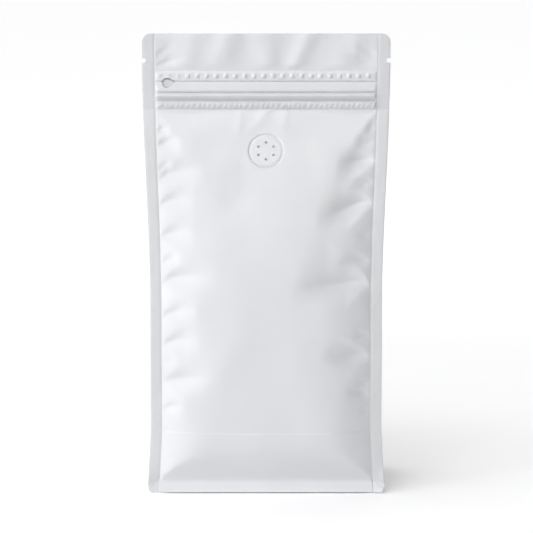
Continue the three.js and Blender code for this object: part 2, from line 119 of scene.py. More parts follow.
# The form of every valley. Where there are two numbers, they are for above its line and below it.
VALLEY_PINCH = 4.0  # the line's first rise is over about this width
VALLEY_TIP = (0.9, 1.0)  # half width at the seam
VALLEY_MOST = (0.42, 14.0)  # where it stops growing: a share of the reach, and a distance
VALLEY_ROUND, VALLEY_ROUNDER = 0.3, 0.04  # radius of the bottom, and its gain for each step in
VALLEY_SHARP = (1.25, 1.6)  # reach of the sharp part, in half widths
VALLEY_BROAD = (10.0, 9.0)  # and of the hollow around it
SHARP_CURVE, BROAD_CURVE = 1.35, 1.6
SHARP_SHARE, BROAD_SHARE = 1.2, 0.95
VALLEY_LENGTH = 0.62  # share of the reach in which the next three are measured
VALLEY_FULL, VALLEY_FADE, VALLEY_END = 0.4, 0.45, 1.2

# Soft folds: (x and z of one end, x and z of the other, half width at each end, height)
HEADER_WAVES = [
    (-19.4, 258, -24.0, 246, 6.0, 7.5, 1.1), (-20.0, 256, -31.0, 232, 9.0, 7.0, 0.8),
    (-5.0, 258, -5.5, 250, 4.0, 5.0, 0.5), (1.0, 258, 0.6, 232, 7.5, 5.5, 1.3),
    (25.2, 258, 13.8, 232, 5.5, 4.8, 1.6), (-40.0, 258, -49.0, 232, 8.5, 6.0, 1.1),
    (54.0, 252, 39.0, 233, 9.0, 7.0, 1.1),
]
SOFT_FOLDS = [
    (-14.0, 214, -15.2, 203, 2.4, 3.0, 0.35), (1.2, 214, -6.8, 201, 2.4, 3.6, 0.5),
    (12.0, 214, 9.0, 203, 2.4, 3.2, 0.3), (-8.0, 186, -13.0, 164, 7.0, 8.0, -0.5),
    (-25.0, 184, -30.0, 164, 7.0, 9.0, 0.35), (30.0, 150, 22.0, 128, 9.0, 10.0, 0.5),
    (-48.0, 52, -22.0, 78, 8.0, 9.0, 0.8),
]
FOLD_TAIL, TAIL_SHARE = 2.0, 0.22  # past its ends a fold fades by a length and a share of its own
HEADER_CLEAR = 4.0  # the header's waves start over this height above the zip
UNDER_ZIP = 0.6  # the soft folds of the panel end over this height below the zip
FOLDS_FROM = 20.0  # and start this high above the foot's weld

# Slow unevenness of hand-filled film.
WAVES, WAVE_SEED = 14, 11
WAVE_SHORTEST, WAVE_LONGEST = 18, 60
WAVE_RISE, WAVE_PHASE = 0.0016, 6.28  # share of a wave's length, and the largest phase
WAVE_FULL, WAVE_FADE = 30.0, 196.0  # heights up to which waves grow, and from which they end
SEAM_CALM = 12.0  # waves grow over this distance from a seam

# Raised squares of the top band, and slanted knurls of the lowest.
DOT_FIRST, DOT_PITCH, DOT_Z, DOTS = -60.3, 5.35, 232.1, 23
DOT_COLUMNS = 12  # columns of the mesh to a pitch
DOT_RISE, DOT_HALF, DOT_SLOPE = 0.95, 1.35, 0.9  # rise, half height, height of a sloping side
DOTS_FAINT, DOT_FAINT = 3, 0.4  # the first ones are lower, by the tear tab
KNURL_PITCH, KNURL_LEAN, KNURL_RISE, KNURL_SECOND = 3.0, 0.5, 0.21, 0.4
KNURL_LOW, KNURL_HIGH, KNURL_FADE = 213.7, 217.2, 0.7
KNURL_UNEVEN = ((0.3, 0.37, 0.0), (0.2, 0.91, 1.0))  # (rise, turn for each mm, phase)
BAND_INSET = 1.1  # width over which the bands run out at a side seam

# The pressed line across a panel.
STEP_RISE, STEP_HALF = 0.42, 0.5  # half of the height over which it rises
STEP_FADE_FROM, STEP_FADE = 0.4, 6.0  # below it
STEP_INSET = 3.0  # width over which it runs out at a side seam

# The valve: its disc, its pocket in the film, and six pin holes, as (radius, height) pairs.
VALVE_Z, VALVE_R = 190.8, 9.6
VALVE_FLAT, VALVE_AROUND = 10.8, 17.0  # the film is flat inside the one radius, and free outside
VALVE_NEAR = 5.0  # above and below its centre, where the film's lean is taken
VALVE_SIDES, PIN_SIDES = 160, 24
VALVE_PROFILE = [
    (0, -1.6), (VALVE_R, -1.6), (VALVE_R, -0.52), (9.5, -0.46), (9.2, -0.44), (8.8, -0.44),
    (8.6, -0.4), (8.35, -0.3), (8.15, -0.27), (7.8, -0.27), (6.5, -0.29), (3.0, -0.3), (0, -0.3),
]
POCKET_PROFILE = [
    (0, -1.7), (VALVE_R + 0.04, -1.7), (VALVE_R + 0.04, -0.5), (VALVE_R + 0.12, -0.42),
    (VALVE_R + 0.75, -0.06), (VALVE_R + 1.3, 0.12), (VALVE_R + 1.3, 4.0), (0, 4.0),
]
PIN_PROFILE = [(0, -1.5), (0.66, -1.5), (0.66, -0.5), (0.95, -0.26), (1.05, 1.0), (0, 1.0)]
PINS, PIN_CIRCLE = 6, 4.9

# The keyhole of the tear tab, and the tape behind it.
KEYHOLE_X, KEYHOLE_Z, KEYHOLE_R = -55.9, 228.3, 2.85
KEYHOLE_ARC, KEYHOLE_SIDES = (0.36, 1.42), 40  # the round part's start and sweep, in half turns
KEYHOLE_TIP, TIP_GROWTH = (4.9, 0.7), 1.5
CUT_FROM, CUT_TO = 3, 0.3  # the cut starts in front of the film, and ends before the back's
TAPE_SHIFT, TAPE_GROWTH, TAPE_SUNK = (0.3, -0.28), -0.45, 0.45

# ------------------------------------------------------------------ the form, in formulas


def clamp(t):
    return np.clip(t, 0.0, 1.0)


def ramp(value, start, end):
    t = clamp((value - start) / (end - start))
    return t * t * (3 - 2 * t)


def lerp(a, b, t):
    return a + (b - a) * t


def hump(value, at, half):
    return math.exp(-(((value - at) / half) ** 2))


def waist(z):
    return 1 - ramp(z, WAIST_LOW, WAIST_HIGH)


def spread(z):
    return clamp(1 - z / CREASE) ** FLARE_CURVE


def corner_loss(away, wide, tall):
    """How far an elliptic corner draws the edge in, at a distance from the end."""
    return wide * (1 - np.sqrt(1 - clamp(1 - away / tall) ** 2))


def square_half(z):
    return HALF_WIDTH - WAIST * waist(z) + FLARE * spread(z)


def outer_half(z):
    """Half width over the welds, with the round corners and the tear notches."""
    foot, top = corner_loss(z - LIFT, FOOT_CORNER, CORNER), corner_loss(HEIGHT - z, CORNER, CORNER)
    off = np.abs(z - NOTCH_Z)
    cut = NOTCH_DEEP - NOTCH_R + np.sqrt(np.maximum(0, NOTCH_R**2 - off**2))
    return square_half(z) - foot - top - np.where(off < NOTCH_R, cut, 0)


def seam_half(z):
    return square_half(z) - WELD + WELD_WAIST_LOSS * waist(z) - WELD_FOOT_GAIN * spread(z)


def from_seam(x, z):
    return seam_half(z) - np.abs(x)


def seam_depth(z):
    taper = (HALF_DEPTH - FLAT_DEPTH) / (ZIP_LOW - SHOULDER)
    past = (z - SHOULDER) / SHOULDER_SOFT
    return np.maximum(FLAT_DEPTH, HALF_DEPTH - taper * SHOULDER_SOFT * np.log1p(np.exp(past)))


def bulge(x, z):
    upper = ramp(z, CREASE, UPPER_FROM)
    side = clamp(1 - np.abs(x) / seam_half(z))
    across = 1 - (1 - side) ** lerp(STEEP, STEEP_UPPER, upper)
    t = clamp((z - FOOT) / (CREASE - FOOT))
    up = 1 - (1 - (1 + HOLLOW) * t**2 / (t + HOLLOW)) ** FOOT_STEEP
    sharp = lerp(SHARP, SHARP_UPPER, upper)
    with np.errstate(divide="ignore"):
        both = (across**-sharp + up**-sharp) ** (-1 / sharp)
    height = lerp(BULGE, FLAT_BULGE, ramp(z, BULGE_TO, FLAT_FROM))
    return height * np.where((across > 0) & (up > 0), both, 0)


def edge_roll(x, z):
    inward = np.maximum(0, from_seam(x, z))
    fade = 1 - ramp(z, ROLL_FADE, ROLL_NONE)
    return ROLL * (1 - np.exp(-inward / ROLL_REACH)) * fade * ramp(z, CREASE, ROLL_FULL)


def rise_and_fade(inward, peak):
    return np.where(inward > 0, inward / peak * np.exp(1 - inward / peak), 0)


def valley(inward, z, start, reach, deep, lift, fall, above, below):
    """A sharp valley from a pinch at the seam, with a round cushion either side of it."""
    off = z - (start + lift * (1 - np.exp(-inward / VALLEY_PINCH)) - fall * inward)

    def side(upper, lower):
        return np.where(off > 0, upper, lower)

    width = side(VALLEY_TIP[0] + above * inward, VALLEY_TIP[1] + below * inward)
    most = side(VALLEY_MOST[0] * reach * above + 1, VALLEY_MOST[1] * below + 1)
    tent = side(*VALLEY_SHARP) * np.minimum(width, most)
    soft = VALLEY_ROUND + VALLEY_ROUNDER * np.maximum(inward, 0)
    away = np.sqrt(off**2 + soft**2) - soft
    sharp = (1 - clamp(away / tent)) ** SHARP_CURVE
    broad = (1 - clamp(away / side(*VALLEY_BROAD))) ** BROAD_CURVE
    t = inward / (VALLEY_LENGTH * reach)
    fade = 1 - ramp(t, VALLEY_FADE, VALLEY_END)
    along = np.sin(math.pi / 2 * clamp(t / VALLEY_FULL)) * fade
    return -deep * along * (SHARP_SHARE * sharp + BROAD_SHARE * broad) * (inward > 0)


def ridge(inward, z, start, reach, rise, fall, tip, widening):
    off = (z - start + fall * inward) / (tip + widening * np.maximum(inward, 0))
    return rise * rise_and_fade(inward, RIDGE_PEAK * reach) * np.exp(-(off**2))


def puckers(x, z, left, right):
    inward = from_seam(x, z)
    total = np.zeros(np.broadcast(x, z).shape)
    for one in left:
        total += np.where(x < 0, valley(inward, z, *one), 0)
    for one in right:
        total += np.where(x >= 0, valley(inward, z, *one), 0)
    total += valley(inward, z, *CORNER_VALLEY) + ridge(inward, z, *CORNER_RIDGE)
    total *= 1 - ramp(inward, PUCKER_FADE, PUCKER_END)
    total = total * (1 - ramp(z, ZIP_LOW - ZIP_CLEAR, ZIP_LOW))
    return total * ramp(z, FOOT, FOOT + FOOT_CLEAR)


def soft_folds(x, z, folds):
    """Long low ridges between two points, fading out past both."""
    total = 0
    for x0, z0, x1, z1, wide0, wide1, rise in folds:
        long = math.hypot(x1 - x0, z1 - z0)
        ax, az = (x1 - x0) / long, (z1 - z0) / long
        along = (x - x0) * ax + (z - z0) * az
        off = (x - x0) * az - (z - z0) * ax
        wide = lerp(wide0, wide1, clamp(along / long))
        past = np.maximum(0, np.maximum(-along, along - long))
        tail = TAIL_SHARE * long + FOLD_TAIL
        total = total + rise * np.exp(-((off / wide) ** 2) - (past / tail) ** 2)
    return total


def undulation(x, z):
    random = np.random.RandomState(WAVE_SEED)
    total = 0
    for _ in range(WAVES):
        long = random.uniform(WAVE_SHORTEST, WAVE_LONGEST)
        turn = random.uniform(0, math.pi)
        phase = random.uniform(0, WAVE_PHASE)
        way = x * math.cos(turn) + z * math.sin(turn)
        total = total + long * WAVE_RISE * np.sin(2 * math.pi / long * way + phase)
    inward = clamp(from_seam(x, z) / SEAM_CALM)
    return total * inward * ramp(z, FOOT, WAVE_FULL) * (1 - ramp(z, WAVE_FADE, ZIP_LOW - 1))


def bump_row(z, low, high, rise, crown, soft_low, soft_high):
    """Relief of one band: a step up at each edge, and a round back between them."""
    edge = np.minimum(ramp(z, low, low + soft_low), ramp(z, high, high - soft_high))
    middle, half = (low + high) / 2, (high - low) / 2
    back = np.sqrt(clamp(1 - ((z - middle) / half) ** 2))
    return rise * edge + crown * back


def lip(z, high, crest, low, rise):
    """A band that stands out sharply under its upper edge and falls away in a long S."""
    return rise * ramp(z, high, crest) * ramp(z, low, crest)


def brow(z, high, crest, low, rise):
    """A band that starts sharply at its top and curves back more and more towards its foot."""
    return rise * ramp(z, high, crest) * (1 - clamp((crest - z) / (crest - low)) ** 2)


def groove(z, at, deep, half):
    return -deep * np.exp(-(((z - at) / half) ** 2))


# The press-to-close strip from the top down, each form with its own measures.
ZIP_FORMS = [
    (bump_row, 229.3, 234.9, 0.45, 0.1, 0.3, 1.0),  # rib with the raised squares
    (lip, 229.1, 223.9, 222.5, 0.9),  # tear strip
    (groove, 225.9, 0.08, 0.35),
    (lip, 222.7, 221.4, 218.8, 2.7),  # zip profile
    (brow, 217.6, 217.1, 213.6, 2.2),  # lower rib
    (groove, 229.1, 0.35, 0.35),
    (groove, 222.55, 0.12, 0.2),
]
BAND_EDGES = [213.6, 217.5, 222.5, 225.9, 229.1, 229.3, 234.9]


def raised_squares(x, z):
    at = (x - DOT_FIRST) / DOT_PITCH
    near = np.clip(np.round(at), 0, DOTS - 1)
    off_x, off_z = np.abs(at - near) * DOT_PITCH, np.abs(z - DOT_Z)
    column = DOT_PITCH / DOT_COLUMNS
    wide = clamp((3 * column - off_x) / (2 * column))
    tall = clamp((DOT_HALF - off_z) / DOT_SLOPE)
    faint = x < DOT_FIRST + (DOTS_FAINT - 0.5) * DOT_PITCH
    return DOT_RISE * np.where(faint, DOT_FAINT, 1.0) * np.minimum(wide, tall)


def knurls(x, z):
    uneven = 0
    for rise, turn, phase in KNURL_UNEVEN:
        uneven = uneven + rise * np.sin(x * turn + phase)
    phase = 2 * math.pi * (x - KNURL_LEAN * z + uneven) / KNURL_PITCH
    inside = clamp(np.minimum(z - KNURL_LOW, KNURL_HIGH - z) / KNURL_FADE)
    return KNURL_RISE * inside * (np.sin(phase) + KNURL_SECOND * np.sin(2 * phase))


def zip_relief(x, z):
    rise = 0
    for form, *measures in ZIP_FORMS:
        rise = rise + form(z, *measures)
    rise = rise + raised_squares(x, z) + knurls(x, z)
    return rise * clamp(from_seam(x, z) / BAND_INSET)


def header_wave(x, z):
    inward = from_seam(x, z)
    total = soft_folds(x, z, HEADER_WAVES) * clamp(inward / SEAM_CALM)
    for one in HEADER_FOLDS:
        total = total + valley(inward, z, *one)
    return total * ramp(z, ZIP_HIGH, ZIP_HIGH + HEADER_CLEAR)


def crease_step(x, z):
    """The pressed line across the panel: below it the film stands a little proud."""
    below = CREASE - z
    fade = np.exp(-np.maximum(0, below - STEP_FADE_FROM) / STEP_FADE)
    step = STEP_RISE * ramp(below, -STEP_HALF, STEP_HALF) * fade
    return step * clamp(from_seam(x, z) / STEP_INSET) * (z > FOOT)


def film_depth(x, z, left=LEFT_FOLDS, right=RIGHT_FOLDS):
    return seam_depth(z) + bulge(x, z) + edge_roll(x, z) + puckers(x, z, left, right)


def depth_at(x, z, form):
    return float(form(np.array(x), np.array(z)))


def lean_at_valve():
    low, high = VALVE_Z - VALVE_NEAR, VALVE_Z + VALVE_NEAR
    return (depth_at(0.0, high, film_depth) - depth_at(0.0, low, film_depth)) / (high - low)


VALVE_SLOPE = lean_at_valve()


def front_depth(x, z):
    under_zip = 1 - ramp(z, ZIP_LOW - UNDER_ZIP, ZIP_LOW)
    folds = soft_folds(x, z, SOFT_FOLDS) * under_zip * (z > FOOT + FOLDS_FROM)
    depth = film_depth(x, z) + undulation(x, z) + folds
    # the film is flat over the valve
    away = np.hypot(x, z - VALVE_Z)
    flat = film_depth(0 * x, VALVE_Z + 0 * z) + VALVE_SLOPE * (z - VALVE_Z)
    depth = lerp(flat, depth, ramp(away, VALVE_FLAT, VALVE_AROUND))
    return depth + zip_relief(x, z) + header_wave(x, z) + crease_step(x, z)


def back_depth(x, z):
    depth = film_depth(x, z, RIGHT_FOLDS, LEFT_FOLDS) + undulation(-x, z)
    return depth - header_wave(x, z) + crease_step(x, z)


def gusset_fold(z):
    """How far a gusset's middle line lies inside the side seams."""
    depth = seam_depth(z)
    opening = ramp(depth, GUSSET_CLOSED, GUSSET_CLOSING)
    folded = np.sqrt(GUSSET**2 - depth**2)
    return folded * opening * ramp(z, GUSSET_FOLD_FROM, GUSSET_FOLD_FULL)


def gusset_bulge(z):
    """How far the contents push it out instead."""
    return GUSSET_OUT * ramp(z, EDGE, CREASE) * (1 - ramp(z, GUSSET_OUT_TO, GUSSET_OUT_END))


# ------------------------------------------------------------------ rows and columns


def merged(values, least):
    """Sorted values with those closer than least left out."""
    kept = []
    for value in sorted(values):
        if not kept or value - kept[-1] >= least:
            kept.append(value)
    return kept


def spaced(low, high, step):
    count = max(1, round((high - low) / step))
    return [low + (high - low) * i / count for i in range(count + 1)]


def open_rows():
    """Heights between the foot's weld and MEET, closer together at the crease."""
    low, high = CREASE - 1.6, CREASE + 1.6
    return merged(spaced(FOOT, low, 1.0) + spaced(low, high, 0.4) + spaced(high, MEET, 1.1), 0.15)


def shut_rows():
    """Heights from MEET up, with one on either side of each edge of the zip's bands."""
    fine_to, edge_gap, edge_rows = 236, 0.2, (-0.02, 0.26)
    fine = spaced(MEET, fine_to, 0.46)
    for edge in BAND_EDGES:
        fine = [z for z in fine if abs(z - edge) > edge_gap]
    at_edges = [edge + d for edge in BAND_EDGES for d in edge_rows]
    quarter = math.pi / 2
    notch = [NOTCH_Z + NOTCH_R * math.sin(a) for a in spaced(-quarter, quarter, 0.3)]
    notch += [NOTCH_Z - NOTCH_R - 0.03, NOTCH_Z + NOTCH_R + 0.03]
    rows = merged(fine + at_edges + notch, 0.025)
    rows = [z for z in rows if z < fine_to or abs(z - NOTCH_Z) < NOTCH_R + 0.1]
    corner = [HEIGHT - CORNER * (1 - math.sin(a)) for a in spaced(0, quarter, 0.16)]
    rows += spaced(236.6, 239.2, 0.9) + spaced(242.6, 250.2, 1.0) + corner
    return [MEET] + merged(rows, 0.02)[1:]


def front_columns():
    """Places across as shares of the half width, which line up with the raised squares."""
    seam = float(seam_half(np.array(DOT_Z)))
    step = DOT_PITCH / DOT_COLUMNS
    many = round(2 * seam / step)
    xs = [DOT_FIRST + step * i for i in range(-many, 2 * many)]
    xs = [-seam] + [x for x in xs if abs(x) < seam - 0.3] + [seam]
    if len(xs) % 2 == 0:
        xs.pop(1)
    return np.array(xs) / seam


def eased(count, ease):
    """Shares from -1 to 1, closer together towards both ends."""
    t = np.linspace(-1, 1, count + 1)
    return t * (1 + ease - ease * t * t)


FOOT_ROWS = [EDGE * (1 - math.cos(a)) for a in spaced(0, math.pi / 2, 0.14)] + [FOOT]
OPEN_ROWS = open_rows()
SHUT_ROWS = shut_rows()
FRONT_FINE = front_columns()
FRONT = FRONT_FINE[::2]
BACK = eased(50, 0.3)
SIDE = eased(22, 0.35)

# ------------------------------------------------------------------ sections of the film

# Across a weld from the seam: (share of its width, how far it lies behind the seam)
WELD_STEPS = [
    (0.03, 0.16), (0.075, 0.17), (0.12, 0.02), (0.3, 0),
    (0.55, 0.03), (0.8, 0), (0.97, 0), (1, 0.12),
]
# Lines pressed across a side weld: (height, half width, rise)
WELD_LINES = [(234.6, 0.5, 0.09), (CREASE, 0.5, 0.1), (213.2, 0.4, -0.12), (212.1, 0.4, -0.07)]
WELD_RIPPLE, RIPPLE_TURN, RIPPLE_SLOW = 0.12, 0.21, 0.057
SWING, SWING_TO, SWING_CURVE = 1.1, 20, 1.5  # of its outer edge below the height SWING_TO
WELD_BEVEL, WELD_INSET = 0.12, 0.25  # of the outer edge
# where that bevel starts once front and back are shut, as a share of the depth
EDGE_SHARE = (float(seam_depth(MEET)) - FILM + WELD_BEVEL) / float(seam_depth(MEET))
FOOT_LIP, LIP_FROM, LIP_TO = 0.15, 1.2, 0.5  # heights above the weld's lower edge
# The recess in the bottom: (share of the last outline, height)
RECESS, RECESS_NARROWING = ((0.97, 0.0), (0.95, 0.5)), 0.02


def front_run(z, us):
    x = us * seam_half(z)
    return list(zip(x, -front_depth(x, np.full_like(x, z))))


def back_run(z):
    x = -BACK * seam_half(z)
    return list(zip(x, back_depth(x, np.full_like(x, z))))


def foot_splay(z):
    """How far the weld along the foot stands out, with a small lip at its lower edge."""
    lip_share = ramp(z, LIFT + LIP_FROM, LIFT + LIP_TO)
    return float(FOOT_SPLAY * clamp(1 - z / FOOT) + FOOT_LIP * lip_share)


def weld_relief(z):
    relief = 0
    for at, half, rise in WELD_LINES:
        relief += rise * hump(z, at, half)
    return relief


def swing(z):
    """How far a side weld's edge swings outward near the foot."""
    return SWING * float(ramp(z, SWING_TO, FOOT))


def weld_run(z, depth, sign):
    """Points across a right-hand weld's outer face, from the seam out."""
    half, outer = float(seam_half(z)), float(outer_half(z))
    ripple = WELD_RIPPLE * math.sin(z * RIPPLE_TURN) * math.sin(z * RIPPLE_SLOW + 1)
    out = []
    for share, behind in WELD_STEPS:
        stands = depth - behind - ripple * share * (1 - share) * 4 + weld_relief(z) * (share < 1)
        y = sign * (stands + swing(z) * share**SWING_CURVE)
        out.append((lerp(half, outer, share), y))
    return out


def gusset_run(z):
    root = float(seam_depth(z)) - FILM
    half = float(seam_half(z))
    inward, swell = float(gusset_fold(z)), float(gusset_bulge(z))
    wrinkled = GUSSET_WRINKLE * float(ramp(z, GUSSET_CALM, GUSSET_WRINKLED))
    out = []
    for v in SIDE:
        soft = 1 - math.sqrt(v * v + GUSSET_ROUND) / math.sqrt(1 + GUSSET_ROUND)
        wrinkle = wrinkled * math.sin(z * WRINKLE_TURN + 2 * v) * math.sin(z * WRINKLE_SLOW)
        out.append((half - inward * soft + (swell + wrinkle) * (1 - v * v), v * root))
    return out


def open_run(z):
    depth, outer = float(seam_depth(z)), float(outer_half(z))
    inner = depth - FILM + swing(z)
    front = weld_run(z, depth, -1) + [(outer, -inner - WELD_BEVEL), (outer - WELD_INSET, -inner)]
    back = weld_run(z, depth, 1) + [(outer, inner + WELD_BEVEL), (outer - WELD_INSET, inner)]
    return front + gusset_run(z) + back[::-1]


def shut_run(z):
    depth, outer = float(seam_depth(z)), float(outer_half(z))
    front = weld_run(z, depth, -1) + [(outer, -depth * EDGE_SHARE)]
    back = weld_run(z, depth, 1) + [(outer, depth * EDGE_SHARE)]
    return front + back[::-1]


def turned(run):
    return [(-x, -y) for x, y in run]


def level(run, z):
    return [(float(x), float(y), float(z)) for x, y in run]


def ring(z, side, us):
    run = side(z)
    return level(front_run(z, us) + run + back_run(z) + turned(run), z)


def foot_sheet(z, face, us):
    """A closed section of the front or back film below the body's seams: -1 is the front."""
    depth = float(seam_depth(z)) + foot_splay(z)
    half, outer = float(seam_half(z)), float(outer_half(z))
    inner = depth - FILM
    weld = [(x, -y) for x, y in weld_run(z, depth, 1)]
    outside = [(-x, y) for x, y in weld[::-1]] + [(u * half, -depth) for u in us] + weld
    edge = inner + swing(z)
    corner = [(outer, -edge - WELD_BEVEL), (outer - WELD_INSET, -edge)]
    inside = corner + [(u * half, -inner) for u in us[::-1]] + [(-x, y) for x, y in corner[::-1]]
    run = outside + inside
    return level(run if face < 0 else turned(run), z)


def foot_ring(z):
    """The body's section behind the foot's welds, drawn in by its round lower edge."""
    inset = EDGE - math.sqrt(EDGE**2 - max(0, EDGE - z) ** 2)
    half, inner = float(seam_half(z)), float(seam_depth(z)) - FILM
    side = gusset_run(z)
    front, back = [(u * half, -inner) for u in FRONT], [(-u * half, inner) for u in BACK]
    sx, sy = 1 - inset / half, 1 - inset / inner
    return [(x * sx, y * sy, float(z)) for x, y in front + side + back + turned(side)]


class Shell:
    """Faces gathered from rings of points in millimetres and merged into one mesh in metres."""

    def __init__(self):
        self.points, self.faces = [], []

    def face(self, *points):
        base = len(self.points)
        self.points.extend(points)
        self.faces.append(tuple(range(base, base + len(points))))

    def skin(self, rings):
        n = len(rings[0])
        base = len(self.points)
        for one in rings:
            self.points.extend(one)
        for row in range(len(rings) - 1):
            low = base + row * n
            for i in range(n):
                j = (i + 1) % n
                self.faces.append((low + i, low + j, low + n + j, low + n + i))

    def object(self, name):
        mesh = bpy.data.meshes.new(name)
        mesh.from_pydata([(x * MM, y * MM, z * MM) for x, y, z in self.points], [], self.faces)
        merging = bmesh.new()
        merging.from_mesh(mesh)
        bmesh.ops.remove_doubles(merging, verts=merging.verts, dist=SAME_POINT)
        bmesh.ops.recalc_face_normals(merging, faces=merging.faces)
        merging.to_mesh(mesh)
        merging.free()
        obj = bpy.data.objects.new(name, mesh)
        bpy.context.scene.collection.objects.link(obj)
        return obj


def pouch_shell():
    shell = Shell()
    columns = len(FRONT) - 1
    body = [foot_ring(z) for z in FOOT_ROWS]
    shell.skin(body)
    for share, z in RECESS:
        narrower = 1 - RECESS_NARROWING * (1 - share)
        body.insert(0, [(x * share, y * share * narrower, z) for x, y, _ in body[0]])
    shell.skin(body[: len(RECESS) + 1])
    shell.face(*body[0][::-1])
    weld_rows = [LIFT + z * (FOOT - LIFT) / FOOT for z in FOOT_ROWS]
    front_foot = [foot_sheet(z, -1, FRONT) for z in weld_rows]
    back_foot = [foot_sheet(z, 1, -BACK[::-1]) for z in weld_rows]
    for rings in (front_foot, back_foot):
        shell.skin(rings)
        shell.face(*rings[0][::-1])
    opened = [ring(z, open_run, FRONT) for z in OPEN_ROWS]
    shell.skin(opened[:-1])
    # the last open row meets finer columns, so its front faces get one point more
    lower, upper = opened[-2], opened[-1]
    finer = level(front_run(MEET, FRONT_FINE), MEET)
    n = len(lower)
    for i in range(n):
        j = (i + 1) % n
        extra = [finer[2 * i + 1]] if i < columns else []
        shell.face(lower[i], lower[j], upper[j], *extra, upper[i])
    shut = [ring(z, shut_run, FRONT_FINE) for z in SHUT_ROWS]
    shell.skin(shut)
    shell.face(*shut[-1])
    # the slits between the welded edges end under small webs
    slit = level(open_run(MEET)[len(WELD_STEPS):-len(WELD_STEPS)], MEET)
    shell.face(*slit[::-1])
    shell.face(*[(-x, -y, z) for x, y, z in slit[::-1]])
    return shell


# ------------------------------------------------------------------ pieces


def cut(obj, cutter):
    """Takes the cutter out of the object, and deletes it."""
    modifier = obj.modifiers.new("cut", "BOOLEAN")
    modifier.operation, modifier.solver, modifier.object = "DIFFERENCE", "MANIFOLD", cutter
    graph = bpy.context.evaluated_depsgraph_get()
    mesh = bpy.data.meshes.new_from_object(obj.evaluated_get(graph))
    obj.modifiers.clear()
    old, obj.data = obj.data, mesh
    bpy.data.meshes.remove(old)
    bpy.data.objects.remove(cutter)


def smooth(obj, angle=35):
    mesh = obj.data
    mesh.polygons.foreach_set("use_smooth", [True] * len(mesh.polygons))
    mesh.set_sharp_from_angle(angle=math.radians(angle))


def prism(name, outline, low, high):
    """A closed prism of an outline of (x, z) in millimetres, from depth y low to y high."""
    shell = Shell()
    rings = [[(x, y, z) for x, z in outline] for y in (high, low)]
    shell.skin(rings)
    shell.face(*rings[0][::-1])
    shell.face(*rings[1])
    return shell.object(name)


def lathe(name, profile, count):
    """A solid turned about Z from (radius, height) pairs that start and end at radius 0."""
    shell = Shell()
    angles = [2 * math.pi * i / count for i in range(count)]
    rings = []
    for radius, up in profile[1:-1]:
        rings.append([(radius * math.cos(a), radius * math.sin(a), up) for a in angles])
    shell.skin(rings)
    for end, ring_at in ((profile[0], rings[0]), (profile[-1], rings[-1])):
        for i in range(count):
            shell.face(ring_at[i], ring_at[(i + 1) % count], (0.0, 0.0, end[1]))
    return shell.object(name)


def valve_place():
    """From the valve's own frame, its face at z = 0, to its place on the film, in metres."""
    lean = math.atan(-VALVE_SLOPE)
    move = Matrix.Translation((0, -depth_at(0.0, VALVE_Z, film_depth) * MM, VALVE_Z * MM))
    return move @ Matrix.Rotation(math.pi / 2 - lean, 4, "X")


def keyhole_outline(grow):
    radius = KEYHOLE_R + grow
    start, sweep = KEYHOLE_ARC
    arc = [math.pi * (start + sweep * i / KEYHOLE_SIDES) for i in range(KEYHOLE_SIDES + 1)]
    points = [(radius * math.cos(a), radius * math.sin(a)) for a in arc]
    tip = (KEYHOLE_TIP[0] + TIP_GROWTH * grow, KEYHOLE_TIP[1])
    return [(KEYHOLE_X + x, KEYHOLE_Z + z) for x, z in points + [tip]]


def make_pouch():
    pouch = pouch_shell().object("pouch_film")
    pocket = lathe("pocket", POCKET_PROFILE, VALVE_SIDES)
    pocket.data.transform(valve_place())
    cut(pouch, pocket)
    surface = depth_at(KEYHOLE_X, KEYHOLE_Z, front_depth)
    cut(pouch, prism("keyhole", keyhole_outline(0), -surface - CUT_FROM, CUT_TO))
    smooth(pouch)
    return pouch


def make_valve():
    """The disc under the film: a lip, a groove and a shallow dish, with six pin holes."""
    valve = lathe("valve_disc", VALVE_PROFILE, VALVE_SIDES)
    for i in range(PINS):
        angle = math.pi / 2 + i * math.pi / 3
        pin = lathe("pin", PIN_PROFILE, PIN_SIDES)
        across, up = PIN_CIRCLE * MM * math.cos(angle), PIN_CIRCLE * MM * math.sin(angle)
        pin.data.transform(Matrix.Translation((across, up, 0)))
        cut(valve, pin)
    valve.data.transform(valve_place())
    smooth(valve, 30)
    return valve


def make_tape():
    """The tape behind the tear tab, seen through the keyhole with a gap along its upper left."""
    surface = depth_at(KEYHOLE_X, KEYHOLE_Z, front_depth)
    shift_x, shift_z = TAPE_SHIFT
    outline = [(x + shift_x, z + shift_z) for x, z in keyhole_outline(TAPE_GROWTH)]
    tape = prism("tear_tape", outline, -surface + TAPE_SUNK, 0.0)
    smooth(tape)
    return tape


# ------------------------------------------------------------------ materials

# (name, two shades of white that make it cloudy, roughness)
FILM_LOOK = ("film", (0.72, 0.725, 0.745), (0.705, 0.71, 0.73), 0.46)
VALVE_LOOK = ("valve_film", (0.72, 0.725, 0.745), (0.71, 0.715, 0.735), 0.42)
# the tape's whites are darker than the film's: painted shade for its lying back in the keyhole
TAPE_PAINTED_SHADE_LOOK = ("tape_plastic", (0.67, 0.675, 0.695), (0.65, 0.655, 0.675), 0.38)

# Places on the film in metres. Four numbers are a value at one height and at another, then both
# heights, with a smooth change between them.
SEAM_OUT = (0.0581, 0.0626, 0.1, 0.24)  # distance of the seam from the middle
SEAM_FOOT = (0.0018, 0, 0, 0.035)  # how much further out it lies at the foot
WELD_EDGE = 0.0006  # width over which the weld's painted shade starts
MITRE_LEAN, MITRE_FROM, MITRE_TO = 0.54, 0.0079, 0.0083  # where that painted shade ends above the foot's weld
MITRE_PRESS = (0, 0.5, 0.0077, 0.0085)
FOLD_LEAN, FOLD_AT, FOLD_HALF = 0.8, 0.0074, 0.0005  # the line pressed into the foot's corners
# painted shade: the side welds are coloured darker than the film, for the shade that falls on them
WELD_PAINTED_SHADE = (0.925, 0.925, 0.925)

